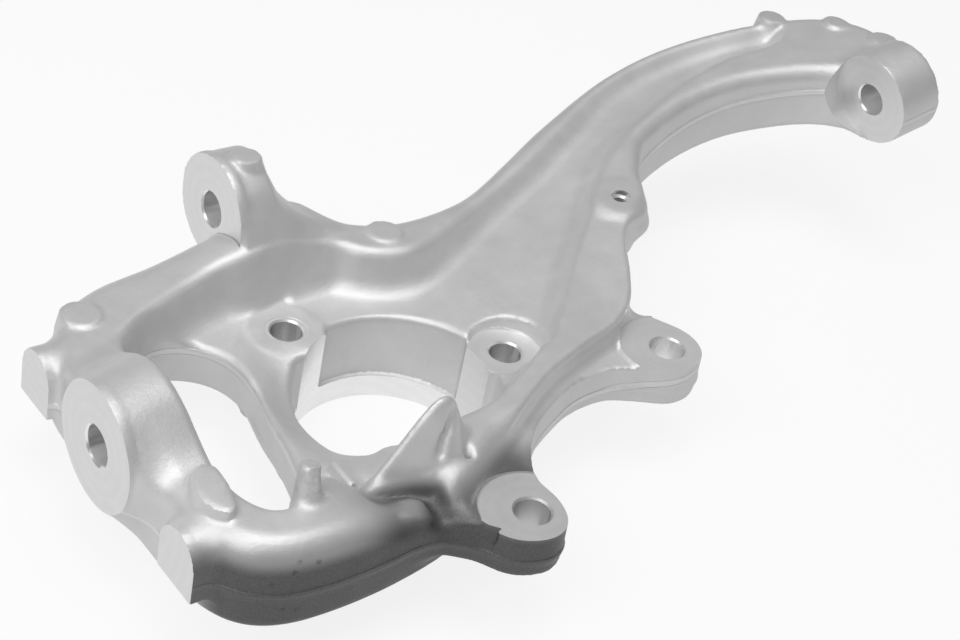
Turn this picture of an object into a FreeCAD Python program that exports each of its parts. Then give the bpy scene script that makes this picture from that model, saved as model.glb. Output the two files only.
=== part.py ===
"""Front steering knuckle, one aluminium casting with machined faces and bores.

Part frame, millimetres: the origin is the centre of the hub bore on its lower, outboard
seat face; Z points inboard along the hub axis (up as the part lies); X is the long
direction of the casting, from the lower ball joint towards the swan neck, and all link
bores run along it; Y completes the frame, the steering arm is on its positive side and
the two caliper ears are on its negative side.
"""
import FreeCAD, Part
import math
import os

V = FreeCAD.Vector

# driving dimensions
BORE_R = 41.0            # hub bore
SEAT_BAND = 11.0         # height of the machined band above the outboard seat
CAST_WALL_R = 43.0       # cast wall of the hub above the band
PAD_WALL_R = 41.9        # wall of the bolt pads above the band
PAD_Z = 41.0             # inboard face of the hub bolt pads
RING_LOW_Z = 30.0        # edge of the bore where the ring falls away towards the window
SEAT_R = 49.0            # outside of the hub barrel at the outboard seat
SEAT_LOBE = 19.0         # how far the barrel swells out under the root of the neck
SEAT_LOBE_AT = 45.0      # direction of that lobe, degrees from X
BARREL_FLARE = 12.0      # how far the barrel widens up to the underside of the frame
HUB_BOLT_R = 54.5        # pitch circle radius of the three hub bolts
HUB_BOLT_HOLE_R = 7.0
HUB_BOLT_START = -2.5    # direction of the first hub bolt, degrees from X
HUB_PAD_R = 17.0

PARTING_Z = 39.0         # mould parting plane in the lower half
RIDGE_Z = 60.0           # crest of the ribs in the lower half
FLOOR_Z = 41.0           # web floor round the hub
UNDER_Z = 19.0           # underside of the frame
NECK_START_X = 80.0      # from here the neck climbs inboard
NECK_REACH = 238.0       # from there along X to the upper ball joint
NECK_BOW = 133.0         # how far the neck bows out in Y
NECK_SLOPE = 0.19        # climb of the neck, millimetre per millimetre
NECK_HALF_DEPTH = 20.0   # half of the neck's depth at its parting plane
DRAFT = 3.0              # degrees, outer walls
WEB_DRAFT = 14.0         # degrees, walls of the web pocket
FOOT_ROUND = 4.0         # rounding of the outer lower edges
CREST_ROUND = 6.0        # rounding of the outer upper edges and of the pocket's floor
LIP_ROUND = 4.0          # rounding of the pocket's upper edge

EAR_TOP_Z = 49.0         # machined caliper faces
EAR_BOTTOM_Z = 30.0
EAR_R = 15.2
CALIPER_HOLE_R = 7.4
CALIPER = [(-4.1, -96.1), (116.2, -37.1)]          # hole centres
EAR_CENTRES = [(-7.5, -95.0), (115.0, -35.5)]      # round ends of the ears

LOWER_X = -139.0         # machined face of the lower ball joint boss
LOWER_LENGTH = 30.0
LOWER_Y, LOWER_Z = 2.5, 53.0
LOWER_R = 26.0
LOWER_BACK_R = 28.5
LOWER_HOLE_R = 8.2

TIE_X = -33.0            # machined face of the steering arm boss
TIE_LENGTH = 8.0         # straight part, ahead of the taper
TIE_TAPER = 25.0
TIE_BACK_R = 14.0
TIE_Y, TIE_Z = 103.5, 70.0
TIE_R = 25.0
TIE_HOLE_R = 7.7

UPPER_X = NECK_START_X + NECK_REACH               # machined face of the upper boss
UPPER_Y, UPPER_Z = 49.0, 84.5
UPPER_LENGTH = 25.0
UPPER_R = 23.5
UPPER_TILT = 11.0        # degrees the upper bore rises against X
UPPER_HOLE_R = 7.8

SIDE_PAD_X = -136.0      # two machined side pads of the end wall
SIDE_PADS = [(58.5, 23.0), (-54.5, 25.0)]         # centre in Y and width
SIDE_PAD_LOW, SIDE_PAD_HIGH = 30.0, 56.0

SCREW_X, SCREW_Y = 151.0, 44.0                    # small threaded boss of the line bracket
SCREW_HOLE_R = 3.4
SCREW_TOP_Z = 67.0
SCREW_FLOOR_Z = 52.0     # bottom of its blind hole
SCREW_HEAD_R, SCREW_HEAD = 13.0, 9.0
SCREW_FOOT_R, SCREW_FOOT = 6.0, 14.0

HORN_BASE_Z = 40.0       # root of the horn beside the hub bore, towards the lower ear
HORN_TOP_Z = 85.0
RISER_R = 7.5            # broken riser on the front rail
RISER_BASE_Z, RISER_LENGTH = 46.0, 28.0

THROUGH = 200.0          # length of a cut that goes right through
CLEAR = 10.0             # how far a one-sided cut starts ahead of its face


def parting(x):
    return PARTING_Z + NECK_SLOPE * max(0.0, x - NECK_START_X)


def tan(degrees):
    return math.tan(math.radians(degrees))


def ring(points, z, grow=0.0):
    """Closed smooth outline through plan points (anticlockwise), moved outwards by grow."""
    moved = []
    n = len(points)
    for i in range(n):
        (ax, ay), (x, y), (bx, by) = points[i - 1], points[i], points[(i + 1) % n]
        dx, dy = bx - ax, by - ay
        length = math.hypot(dx, dy)
        moved.append(V(x + grow * dy / length, y - grow * dx / length, z))
    curve = Part.BSplineCurve()
    curve.interpolate(Points=moved, PeriodicFlag=True)
    return Part.Wire([curve.toShape()])


def drafted(points, levels):
    """Solid through the outline at several levels; each level is (z, grow)."""
    return Part.makeLoft([ring(points, z, grow) for z, grow in levels], True, True)


def section(corners):
    """Closed wire through (point, radius) corners; a radius rounds its corner in two bevels."""
    n = len(corners)
    points = []
    for i in range(n):
        p, r = corners[i]
        if r <= 0:
            points.append(p)
            continue
        u = (corners[i - 1][0] - p).normalize()
        w = (corners[(i + 1) % n][0] - p).normalize()
        half = u.getAngle(w) / 2.0
        reach = r / math.tan(half)
        points += [p + u * reach, p + (u + w).normalize() * (r / math.sin(half) - r), p + w * reach]
    return Part.makePolygon(points + [points[0]])


def cylinder(r, length, at, direction):
    return Part.makeCylinder(r, length, at, direction)


X, Y, Z = V(1, 0, 0), V(0, 1, 0), V(0, 0, 1)

# bore of the upper ball joint, seen along the neck
UPPER_AXIS = V(math.cos(math.radians(UPPER_TILT)), 0, math.sin(math.radians(UPPER_TILT)))

# outer outline of frame and hub at the parting plane
frame_plan = [(-132, 20), (-132, -40), (-129, -62), (-120, -77), (-104, -85), (-80, -87),
              (-52, -85), (-24, -79), (0, -67), (24, -53), (48, -40), (74, -32), (98, -25),
              (112, -12), (112, 10), (96, 40), (84, 66), (68, 82), (48, 85), (30, 91),
              (16, 104), (2, 110), (-16, 108), (-40, 102), (-68, 95), (-95, 90), (-112, 82),
              (-124, 70), (-131, 52)]

# crest line round the web pocket of the frame
web_plan = [(-106, 46), (-108, 10), (-107, -28), (-106, -50), (-97, -61), (-84, -58),
            (-70, -51), (-60, -60), (-44, -62), (-28, -58), (-10, -47), (14, -43), (36, -33),
            (60, -18), (72, 6), (72, 34), (58, 52), (36, 57), (22, 66), (8, 76), (-8, 81),
            (-44, 86), (-58, 79), (-70, 71), (-90, 59)]

# kidney window between the end wall and the hub
window_plan = [(-109, 30), (-107, -20), (-107, -46), (-100, -60), (-86, -57), (-73, -40),
               (-66, -20), (-62, 0), (-57, 22), (-58, 42), (-67, 55), (-82, 60), (-97, 52)]

# flange that carries the two caliper ears
flange_plan = [(-52, -76), (-38, -86), (-26, -97), (-18, -106), (-5, -111), (4, -107),
               (8, -96), (11, -81), (20, -65), (34, -56), (50, -48), (66, -42), (84, -41),
               (99, -47), (113, -52), (126, -48), (131, -37), (128, -24), (119, -10),
               (90, -4), (30, -30), (-20, -55)]

# raised pad on the front rail, left by a clipped riser
rail_pad_plan = [(-121, -36), (-117, -33), (-111, -34), (-108, -39), (-110, -49), (-113, -58),
                 (-118, -60), (-121, -55), (-122, -45)]

# stations of the swan neck: inner and outer wall at the parting line as shares of reach and bow,
# and the height of its crest
neck = [((0.017, -0.18), (-0.218, 0.624), 59), ((0.155, -0.045), (-0.118, 0.624), 59.5),
        ((0.252, 0.18), (0.017, 0.647), 61), ((0.353, 0.316), (0.151, 0.714), 66),
        ((0.479, 0.571), (0.324, 0.85), 73), ((0.613, 0.647), (0.525, 0.97), 80),
        ((0.748, 0.654), (0.71, 1), 86), ((0.866, 0.594), (0.895, 0.947), 91),
        ((0.95, 0.511), (1.05, 0.835), 96), ((1, 0.406), (1.13, 0.692), 99),
        ((1.038, 0.316), (1.147, 0.541), 101)]
# stations of the neck's web pocket: crest line of both ribs, floor height, crest height
channel = [((-0.101, -0.165), (-0.21, 0.451), 43, 59.5), ((0.017, 0), (-0.092, 0.436), 47, 60),
           ((0.109, 0.15), (0, 0.496), 51.5, 61.5), ((0.21, 0.316), (0.118, 0.579), 55.5, 65),
           ((0.319, 0.496), (0.244, 0.684), 61, 70.5), ((0.429, 0.617), (0.37, 0.782), 66.5, 75.5),
           ((0.563, 0.684), (0.521, 0.895), 71, 81), ((0.697, 0.744), (0.681, 0.932), 76, 86),
           ((0.807, 0.774), (0.807, 0.895), 82, 90), ((0.891, 0.805), (0.891, 0.835), 90, 93)]
# stations of the recess under the neck: both sides and its height above the underside
under_channel = [((0.076, 0.045), (0.008, 0.391), 6), ((0.193, 0.241), (0.101, 0.511), 13),
                 ((0.294, 0.391), (0.202, 0.662), 15), ((0.445, 0.632), (0.361, 0.812), 15),
                 ((0.605, 0.722), (0.555, 0.917), 15), ((0.765, 0.737), (0.765, 0.917), 13),
                 ((0.857, 0.722), (0.882, 0.842), 6)]


def on_neck(share):
    """Plan point of the neck from its shares of reach and bow."""
    return (NECK_START_X + NECK_REACH * share[0], NECK_BOW * share[1])


def between(a, b, z_points):
    """Points of the upright plane through plan points a and b: (share of the way, offset along, z)."""
    start, along = V(a[0], a[1], 0), V(b[0] - a[0], b[1] - a[1], 0)
    unit = V(along).normalize()
    return [start + along * share + unit * shift + Z * z for share, shift, z in z_points]


BEVEL = 1 - math.sqrt(0.5)      # where the middle of a rounded edge lies, in radii


def rounded_top(z, grow, r):
    """Levels that round an edge below z, its wall standing at grow."""
    return [(z - r, grow), (z - BEVEL * r, grow - BEVEL * r), (z, grow - r)]


def neck_section(inner, outer, crest):
    inner, outer = on_neck(inner), on_neck(outer)
    mid = parting((inner[0] + outer[0]) / 2.0)
    low = mid - NECK_HALF_DEPTH
    up, down = (crest - mid) * tan(DRAFT), NECK_HALF_DEPTH * tan(DRAFT)
    p = between(inner, outer, [(0, down, low), (0, 0, mid), (0, up, crest),
                               (1, -up, crest), (1, 0, mid), (1, -down, low)])
    return section(list(zip(p, [FOOT_ROUND, 0, CREST_ROUND, CREST_ROUND, 0, FOOT_ROUND])))


def channel_section(inner, outer, floor, crest):
    inner, outer = on_neck(inner), on_neck(outer)
    width = math.hypot(outer[0] - inner[0], outer[1] - inner[1])
    run = min((crest - floor) * tan(WEB_DRAFT), 0.36 * width)
    over = 14.0                         # how far the cutter reaches above the crest, and widens there
    p = between(inner, outer, [(0, -over, crest + over), (0, 0, crest), (0, run, floor),
                               (1, -run, floor), (1, 0, crest), (1, over, crest + over)])
    r = min(CREST_ROUND, 0.14 * width)
    return section(list(zip(p, [0, r, r, r, r, 0])))


def under_section(inner, outer, height):
    inner, outer = on_neck(inner), on_neck(outer)
    low = parting((inner[0] + outer[0]) / 2.0) - NECK_HALF_DEPTH
    lean = 3.0                          # slope of the recess walls, and how far they reach out below
    p = between(inner, outer, [(0, -lean, low - 2 * lean), (0, lean, low + height),
                               (1, -lean, low + height), (1, lean, low - 2 * lean)])
    return section([(q, 0) for q in p])


def barrel_plan():
    """Outside of the hub barrel: round, with a lobe that swells out towards the neck."""
    points = []
    for degrees in range(0, 360, 30):
        a = math.radians(degrees)
        toward = max(0.0, math.cos(a - math.radians(SEAT_LOBE_AT)))
        r = SEAT_R + SEAT_LOBE * toward ** 2
        points.append((r * math.cos(a), r * math.sin(a)))
    return points


def hub_bolt(i):
    a = math.radians(HUB_BOLT_START + 120 * i)
    return V(HUB_BOLT_R * math.cos(a), HUB_BOLT_R * math.sin(a), 0)


def d_pad(y, width):
    """Side pad of the end wall: straight sides under a half-round top."""
    r = width / 2.0
    x, low, high, depth = SIDE_PAD_X, SIDE_PAD_LOW, SIDE_PAD_HIGH - r, 16.0
    arc = Part.Arc(V(x, y + r, high), V(x, y, high + r), V(x, y - r, high)).toShape()
    sides = Part.makePolygon([V(x, y - r, high), V(x, y - r, low), V(x, y + r, low), V(x, y + r, high)])
    return Part.Face(Part.Wire([arc] + sides.Edges)).extrude(X * depth)


def cast_body():
    """Frame, neck and ear flange with their pockets."""
    rise, fall = (RIDGE_Z - PARTING_Z) * tan(DRAFT), (PARTING_Z - UNDER_Z) * tan(DRAFT)
    foot = [(2 * UNDER_Z - z, grow) for z, grow in rounded_top(UNDER_Z, -fall, FOOT_ROUND)]
    top = rounded_top(RIDGE_Z, -rise, CREST_ROUND)
    frame = drafted(frame_plan, foot[::-1] + [(PARTING_Z, 0)] + top)
    neck_body = Part.makeLoft([neck_section(*s) for s in neck], True, False)
    edge = 0.5                          # draft of the flange over its short height
    flange = drafted(flange_plan, [(EAR_BOTTOM_Z, -edge), (PARTING_Z, 0), (EAR_TOP_Z - 2, -edge)])
    barrel = drafted(barrel_plan(), [(0, 0), (UNDER_Z / 2, edge), (UNDER_Z + FOOT_ROUND, BARREL_FLARE)])
    body = frame.fuse([neck_body, flange, barrel])

    run = (RIDGE_Z - FLOOR_Z) * tan(WEB_DRAFT)
    over, wider = 12.0, 16.0            # the cutter's reach above the crest and its width there
    web_foot = [(FLOOR_Z, -run - CREST_ROUND), (FLOOR_Z + CREST_ROUND, 1 - run)]
    web_lip = [(RIDGE_Z - LIP_ROUND, -1), (RIDGE_Z - BEVEL * LIP_ROUND, BEVEL * LIP_ROUND),
               (RIDGE_Z, LIP_ROUND), (RIDGE_Z + over, wider)]
    web = drafted(web_plan, web_foot + web_lip)
    groove = Part.makeLoft([channel_section(*c) for c in channel], True, False)
    recess = Part.makeLoft([under_section(*c) for c in under_channel], True, False)
    return body.cut([web, groove, recess])


def bosses():
    """Everything that stands on the cast body."""
    parts = []
    for i in range(3):
        parts.append(cylinder(HUB_PAD_R, PAD_Z, hub_bolt(i), Z))
    for x, y in EAR_CENTRES:
        parts.append(cylinder(EAR_R, EAR_TOP_Z - EAR_BOTTOM_Z, V(x, y, EAR_BOTTOM_Z), Z))
    # lower ball joint boss and the shoulders that carry it
    parts.append(Part.makeCone(LOWER_R, LOWER_BACK_R, LOWER_LENGTH, V(LOWER_X, LOWER_Y, LOWER_Z), X))
    face_x, depth = LOWER_X + 9, 21.0
    steps = [(44, 40), (42, 56), (17, 73)]                  # half width and height
    shoulder = [V(face_x, LOWER_Y - half, z) for half, z in steps]
    shoulder += [V(face_x, LOWER_Y + half, z) for half, z in reversed(steps)]
    parts.append(Part.Face(section([(p, 0) for p in shoulder])).extrude(X * depth))
    for pad in SIDE_PADS:
        parts.append(d_pad(*pad))
    # steering arm boss: short straight face, tapered back, and the sloping column under it
    at = V(TIE_X, TIE_Y, TIE_Z)
    parts.append(cylinder(TIE_R, TIE_LENGTH, at, X))
    parts.append(Part.makeCone(TIE_R, TIE_BACK_R, TIE_TAPER, at + X * TIE_LENGTH, X))
    front, end, side_y, depth = TIE_X + 6, TIE_X + TIE_LENGTH + TIE_TAPER, TIE_Y - 17, 20.0
    under_bore = TIE_Z - TIE_HOLE_R - 0.5
    column = [(front, FLOOR_Z), (end + 16, FLOOR_Z), (end + 13, under_bore - 6), (end, under_bore),
              (front, TIE_Z)]
    parts.append(Part.Face(section([(V(x, side_y, z), 0) for x, z in column])).extrude(Y * depth))
    # upper ball joint boss at the end of the neck
    parts.append(cylinder(UPPER_R, UPPER_LENGTH, V(UPPER_X, UPPER_Y, UPPER_Z), UPPER_AXIS))
    # nose of the line bracket: a spreading foot under a short round head
    under_head = V(SCREW_X, SCREW_Y, SCREW_TOP_Z - SCREW_HEAD)
    foot = under_head - Z * SCREW_FOOT
    parts.append(Part.makeCone(SCREW_FOOT_R, SCREW_HEAD_R + 1, SCREW_FOOT, foot, Z))
    parts.append(Part.makeCone(SCREW_HEAD_R + 1, SCREW_HEAD_R, SCREW_HEAD, under_head, Z))
    # horn between the hub bore and the lower ear: an upright back, a sloping face to the ear
    crest = [(0, 35), (0.2, 27), (0.33, 19), (0.5, 6), (0.62, 0), (0.72, 3), (0.84, 17), (0.92, 27),
             (1, 29)]                                       # share of its length, depth below the top
    root = [(0, 0, HORN_BASE_Z), (1, 0, HORN_BASE_Z)]
    back = [root[0]] + [(share, 0, HORN_TOP_Z - down) for share, down in crest] + [root[1]]
    face = [(share, shift, min(z, HORN_BASE_Z + 14)) for share, shift, z in back]
    feet = [between((-63, -59), (-2, -57), back), between((-62, -69), (2, -66), face)]
    parts.append(Part.makeLoft([Part.makePolygon(foot + foot[:1]) for foot in feet], True, True))
    # broken riser on the front rail
    lean = V(0, 0.16, 1)
    parts.append(Part.makeCone(RISER_R, RISER_R - 2, RISER_LENGTH, V(-83, -63, RISER_BASE_Z), lean))
    parts.append(drafted(rail_pad_plan, [(RIDGE_Z - 8, 1), (RIDGE_Z + 2, 0)]))
    return parts


def openings():
    """Machined bores, spot faces and the cast window, as cutters."""
    below = V(0, 0, -THROUGH / 2)
    cuts = [cylinder(BORE_R, THROUGH, below, Z)]
    cuts.append(cylinder(PAD_WALL_R, THROUGH, Z * SEAT_BAND, Z))
    wall = Part.makeCone(CAST_WALL_R, CAST_WALL_R + tan(1.2) * THROUGH / 2, THROUGH / 2, Z * SEAT_BAND, Z)
    cuts.append(wall.cut([cylinder(HUB_PAD_R, THROUGH, hub_bolt(i) + below, Z) for i in range(3)]))
    for i in range(3):
        cuts.append(cylinder(HUB_BOLT_HOLE_R, THROUGH, hub_bolt(i) + below, Z))
    rise, wider = 30.0, 6.0             # the neck-side pad is sunk in the rib's root
    cuts.append(Part.makeCone(HUB_PAD_R, HUB_PAD_R + wider, rise, hub_bolt(0) + Z * PAD_Z, Z))
    # the ring falls away to the bore on the side of the window
    start_z, inner_r, outer_r, rise, side_x = RING_LOW_Z - 2, BORE_R - 3, BORE_R + 25, 18.0, -22.0
    fall = Part.makeCone(inner_r, outer_r, rise, V(0, 0, start_z), Z)
    side = Part.makeBox(THROUGH, THROUGH, THROUGH, V(side_x - THROUGH, -THROUGH / 2, start_z))
    cuts.append(fall.common(side).cut([cylinder(HUB_PAD_R, THROUGH, hub_bolt(i), Z) for i in range(3)]))
    for x, y in CALIPER:
        cuts.append(cylinder(CALIPER_HOLE_R, THROUGH, V(x, y, 0) + below, Z))
    for x, y in EAR_CENTRES:
        cuts.append(Part.makeCone(EAR_R + 0.5, EAR_R + 6, 20, V(x, y, EAR_TOP_Z), Z))
    high = LOWER_Z + LOWER_BACK_R + CLEAR
    fall, rise = PARTING_Z * tan(DRAFT), (high - PARTING_Z) * tan(DRAFT)
    cuts.append(drafted(window_plan, [(0, fall), (PARTING_Z, 0), (high, rise)]))
    # link bores along the part; each starts ahead of its machined face
    long = THROUGH / 3
    cuts.append(cylinder(LOWER_HOLE_R, long, V(LOWER_X - CLEAR, LOWER_Y, LOWER_Z), X))
    cuts.append(cylinder(TIE_HOLE_R, long, V(TIE_X - CLEAR, TIE_Y, TIE_Z), X))
    start = V(UPPER_X, UPPER_Y, UPPER_Z)
    cuts.append(cylinder(UPPER_HOLE_R, THROUGH / 2, start - UPPER_AXIS * CLEAR, UPPER_AXIS))
    cuts.append(cylinder(UPPER_R + 3, THROUGH / 5, start, -UPPER_AXIS))
    cuts.append(cylinder(SCREW_HOLE_R, THROUGH, V(SCREW_X, SCREW_Y, SCREW_FLOOR_Z), Z))
    return cuts


knuckle = cast_body().fuse(bosses()).cut(openings())
if __name__ == "__main__":
    os.makedirs("parts", exist_ok=True)
    knuckle.Solids[0].exportStep("parts/knuckle_casting.step")
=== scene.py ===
import math

import bpy
import numpy as np
import openvdb
from bpy.props import FloatProperty, FloatVectorProperty, PointerProperty
from bpy.types import Operator, Panel, PropertyGroup
from mathutils import Matrix, Vector


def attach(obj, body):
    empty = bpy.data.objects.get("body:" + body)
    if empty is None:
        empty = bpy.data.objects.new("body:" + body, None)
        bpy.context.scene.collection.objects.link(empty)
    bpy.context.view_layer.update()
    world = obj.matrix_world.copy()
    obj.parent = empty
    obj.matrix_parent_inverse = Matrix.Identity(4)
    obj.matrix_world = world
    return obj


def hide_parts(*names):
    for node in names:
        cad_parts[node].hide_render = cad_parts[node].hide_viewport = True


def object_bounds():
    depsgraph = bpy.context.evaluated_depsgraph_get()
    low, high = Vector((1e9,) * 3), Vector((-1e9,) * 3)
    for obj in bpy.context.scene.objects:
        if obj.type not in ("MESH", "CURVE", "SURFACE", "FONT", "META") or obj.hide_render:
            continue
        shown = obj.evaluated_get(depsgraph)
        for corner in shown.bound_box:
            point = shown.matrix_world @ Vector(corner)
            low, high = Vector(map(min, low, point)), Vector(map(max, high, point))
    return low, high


bl_info = {
    "name": "Cast steering knuckle",
    "version": (1, 0, 0),
    "blender": (4, 5, 0),
    "location": "View3D > Sidebar > Knuckle",
    "description": "Models and finishes a cast and machined front steering knuckle round its CAD frame",
    "category": "Add Mesh",
}

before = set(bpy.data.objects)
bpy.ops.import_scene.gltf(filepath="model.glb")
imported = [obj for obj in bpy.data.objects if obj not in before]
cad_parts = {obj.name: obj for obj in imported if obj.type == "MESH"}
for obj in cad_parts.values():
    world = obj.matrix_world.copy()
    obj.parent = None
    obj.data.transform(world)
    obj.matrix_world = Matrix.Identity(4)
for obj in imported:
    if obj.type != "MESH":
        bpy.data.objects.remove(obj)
cad_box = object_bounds()

# all places and sizes of the casting are in millimetres, in the frame of the part:
# X along the casting towards the neck, Y towards the steering arm, Z inboard along the hub axis
MM = 0.001

# mould's parting face and its trimmed belt; both the face and the ribs' crest climb with the neck
PARTING_Z, NECK_START_X, NECK_SLOPE = 39.0, 80.0, 0.19
CREST_START_X, CREST_SLOPE = 100.0, 0.16
NECK_EASE, NECK_HALF_DEPTH, NECK_DROP = 14.0, 20.0, 4.0
BELT_DEPTH, BELT_EDGE = 3.0, 0.35

# the crest dips at the front rail and rises to the steering arm: height, place and half width along X
RAIL_DIP, RAIL_DIP_X, RAIL_DIP_HALF = 9.0, -49.0, 21.0
ARM_LIFT, ARM_LIFT_X, ARM_LIFT_HALF = 9.0, -20.0, 25.0

# outer edge of the neck along X, and of the rib between the ears and the line bracket
ROLL_X, NECK_ROLL, RIB_ROLL = [-120, 40, 120, 170], [5.5, 7.5], 2.6
EARS_RELIEF, BOTTOM_R = 10.0, 5.0

# lean of the pocket's walls, as run per rise: round the hub, in the neck and on the steering arm's side
HUB_WALL, NECK_WALL, ARM_WALL = 0.14, 0.45, 0.4

# hub: machined band and cast bore, bolt pads, lobed seat ring and the scoop beside it
BORE_R, BAND_TOP_Z, CAST_BORE_R = 41.0, 11.0, 43.2
PAD_Z, PAD_R = 41.0, 17.0
HUB_BOLT_CIRCLE_R, HUB_BOLT_HOLE_R, HUB_BOLT_START = 54.5, 7.0, -2.5
SEAT_R, SEAT_LOBE, SEAT_LOBE_AT, BARREL_FLARE = 49.0, 19.0, 45.0, 12.0
BARREL_MID_Z, BARREL_HALF, FLARE_START_Z, FLARE_RISE = 10.7, 12.3, 9.5, 13.5
SCOOP_R, SCOOP_FALL = 69.0, 14.0

# caliper ears; the cast skin stands up a little round their spot faces
EAR_TOP_Z, EAR_BOTTOM_Z, EAR_R, EAR_HOLE_R, EAR_SPOT_R = 49.0, 30.0, 15.2, 7.4, 22.0
EAR_JOIN_R, EAR_SKIN = 6.0, 2.4
EARS = [((-7.5, -95.0), (-4.1, -96.1)), ((115.0, -35.5), (116.2, -37.1))]   # round end, hole

# lower ball joint boss, its arch that widens towards the window, and the clipped pads at both its sides
LOWER_X, LOWER_Y, LOWER_Z, LOWER_LENGTH = -139.0, 2.5, 53.0, 31.0
LOWER_R, LOWER_BACK_R, LOWER_HOLE_R, LOWER_ALONG = 26.0, 30.3, 8.2, (28, 5.5, -2.6)
SIDE_PAD_X, SIDE_PADS = -136.0, [(58.5, 23.0), (-54.5, 25.0)]               # centre in Y, width
SIDE_PAD_LOW_Z, SIDE_PAD_HIGH_Z, SIDE_PAD_MID_X, SIDE_PAD_HALF = 30.0, 56.0, -129.0, 8.0

# steering arm boss, and the gusset behind it with the slant of its inner side
TIE_X, TIE_Y, TIE_Z, TIE_R, TIE_HOLE_R = -33.0, 103.5, 70.0, 25.0, 7.7
TIE_DRUM = 20.5
GUSSET_TOP, GUSSET_Y, GUSSET_HALF = 71.0, 91.2, 16.8
TANGENT_Y, TANGENT_Z = -0.77, 0.64

# upper ball joint boss, its bore tilted against X, and the screw hole of the line bracket
UPPER_X, UPPER_Y, UPPER_Z, UPPER_R, UPPER_HOLE_R, UPPER_LENGTH = 318.0, 49.0, 84.5, 23.5, 7.8, 25.0
UPPER_TILT = 11.0
SCREW_X, SCREW_Y, SCREW_TOP_Z, SCREW_R, SCREW_HOLE_R = 151.0, 44.0, 67.0, 13.0, 3.4

# bevel at the mouth of each drilled hole, depth of the recess under the neck, and the angle in degrees
# from which an edge is shown sharp
BEVEL, UNDER_DEPTH, SHARP_FROM = 0.8, 14.0, 32.0

# outlines in plan, anticlockwise, each a closed smooth curve through its points
BODY_PLAN = [(-132, 20), (-132, -40), (-129, -62), (-120, -77), (-104, -85), (-80, -87), (-52, -85),
             (-24, -79), (0, -67), (24, -53), (48, -40), (74, -31), (97, -24), (112, -14), (124, 1),
             (140, 24), (164, 43), (180, 63), (194, 76), (226, 86), (258, 87), (286, 79), (306, 68),
             (318, 54), (327, 42), (344, 50), (353, 72), (351, 94), (333, 114), (296, 128), (249, 134),
             (205, 129), (157, 113), (116, 95), (84, 84), (52, 82), (30, 90), (16, 104), (2, 110),
             (-16, 108), (-40, 102), (-68, 95), (-95, 90), (-112, 82), (-124, 70), (-131, 52)]
POCKET_PLAN = [(-106, 46), (-108, 10), (-107, -28), (-106, -50), (-97, -61), (-84, -58), (-70, -51),
               (-60, -60), (-44, -62), (-28, -58), (-10, -47), (14, -43), (36, -33), (56, -22),
               (77, -7), (91, 6), (109, 23), (124, 36), (136, 46), (147, 57), (158, 68), (173, 78),
               (191, 87), (218, 97), (245, 104), (270, 107), (290, 105), (304, 106), (309, 112),
               (304, 119), (288, 122.5), (266, 126), (245, 127), (221, 125), (195, 118), (166, 104),
               (136, 91), (110, 81), (82, 70), (60, 61), (44, 57), (32, 59), (22, 64), (11, 72.5),
               (-8, 75.5), (-30, 73.5), (-45, 74.5), (-60, 71), (-74, 66), (-91, 58)]
WINDOW_PLAN = [(-109, 30), (-107, -20), (-107, -46), (-100, -60), (-86, -57), (-73, -40), (-66, -20),
               (-62, 0), (-57, 22), (-58, 42), (-67, 55), (-82, 60), (-97, 52)]
FLANGE_PLAN = [(-52, -76), (-38, -86), (-26, -97), (-18, -106), (-5, -111), (4, -107), (8, -96),
               (10, -81), (19, -66), (31, -55), (48, -46), (64, -40), (83, -39), (98, -46), (113, -52),
               (126, -48), (131, -37), (128, -24), (119, -10), (90, -4), (30, -30), (-20, -55)]
RAIL_PAD_PLAN = [(-123, -37), (-116, -32.5), (-111, -36), (-111, -45), (-113, -54), (-116, -60),
                 (-121, -60.5), (-125, -54), (-126, -46)]
UNDER_PLAN = [(86, 22), (98, 8), (126, 33), (150, 53), (186, 85), (224, 97), (262, 99), (284, 97),
              (291, 104), (286, 113), (262, 121), (212, 121), (166, 107), (128, 87), (104, 67), (84, 50)]

# centre lines in the front rail: valley towards the lower ear, ridge beside the window, horn's groove
# and the groove at the broken riser
VALLEY = [(-54, -63, 54), (-47, -62, 51.5), (-40, -66, 50), (-36, -72, 50), (-36, -79, 49),
          (-37, -85, 48.5), (-33, -94, 47.5), (-24, -103, 48)]
RAIL_RIDGE = [(-67, -46, 46), (-67, -54, 47), (-62, -59, 47.5), (-51, -59.5, 48), (-41, -61, 49),
              (-33, -65, 51)]
HORN_GROOVE = [(-17.0, -58.0, 79), (-20.6, -59.2, 76.5), (-23.2, -60.9, 72), (-26.2, -62.7, 67),
               (-28.5, -65, 62)]
RISER_GROOVE = [(-80.5, -61, 70), (-79.5, -63, 59)]
RISER_AT, RISER_ALONG = (-88, -64, 44), (0.11, 0.2, 1)
RISER_LENGTH, RISER_R, RISER_TOP_R = 29.5, 7.2, 4.2

# bar by the third hub bolt's pad: middle, top and half sizes; and the flat pad on the front rail
BAR_X, BAR_Y, BAR_TOP_Z, BAR_HALF_X, BAR_HALF_Y = -56.7, -43.0, 46.0, 1.8, 8.0
RAIL_PAD_MID_Z, RAIL_PAD_HALF = 57.0, 7.3

# horn beside the bore: line in plan that it stands on, its upright face's distance from that line, half
# its crest's width, slant and length; then its crest as places along the line and heights
HORN_START, HORN_END = (-63.0, -57.0), (-2.0, -55.0)
HORN_FACE, HORN_CREST, HORN_SLANT, HORN_LENGTH = 1.8, 1.5, 0.42, 60.0
HORN_ALONG = [-4, 4, 12, 16, 20, 28.5, 34, 37, 41, 44.5, 49, 54, 58, 66]
HORN_TOP = [40, 46, 53, 58, 63, 74, 80, 81.8, 81.8, 79, 69, 60, 54, 46]

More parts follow.
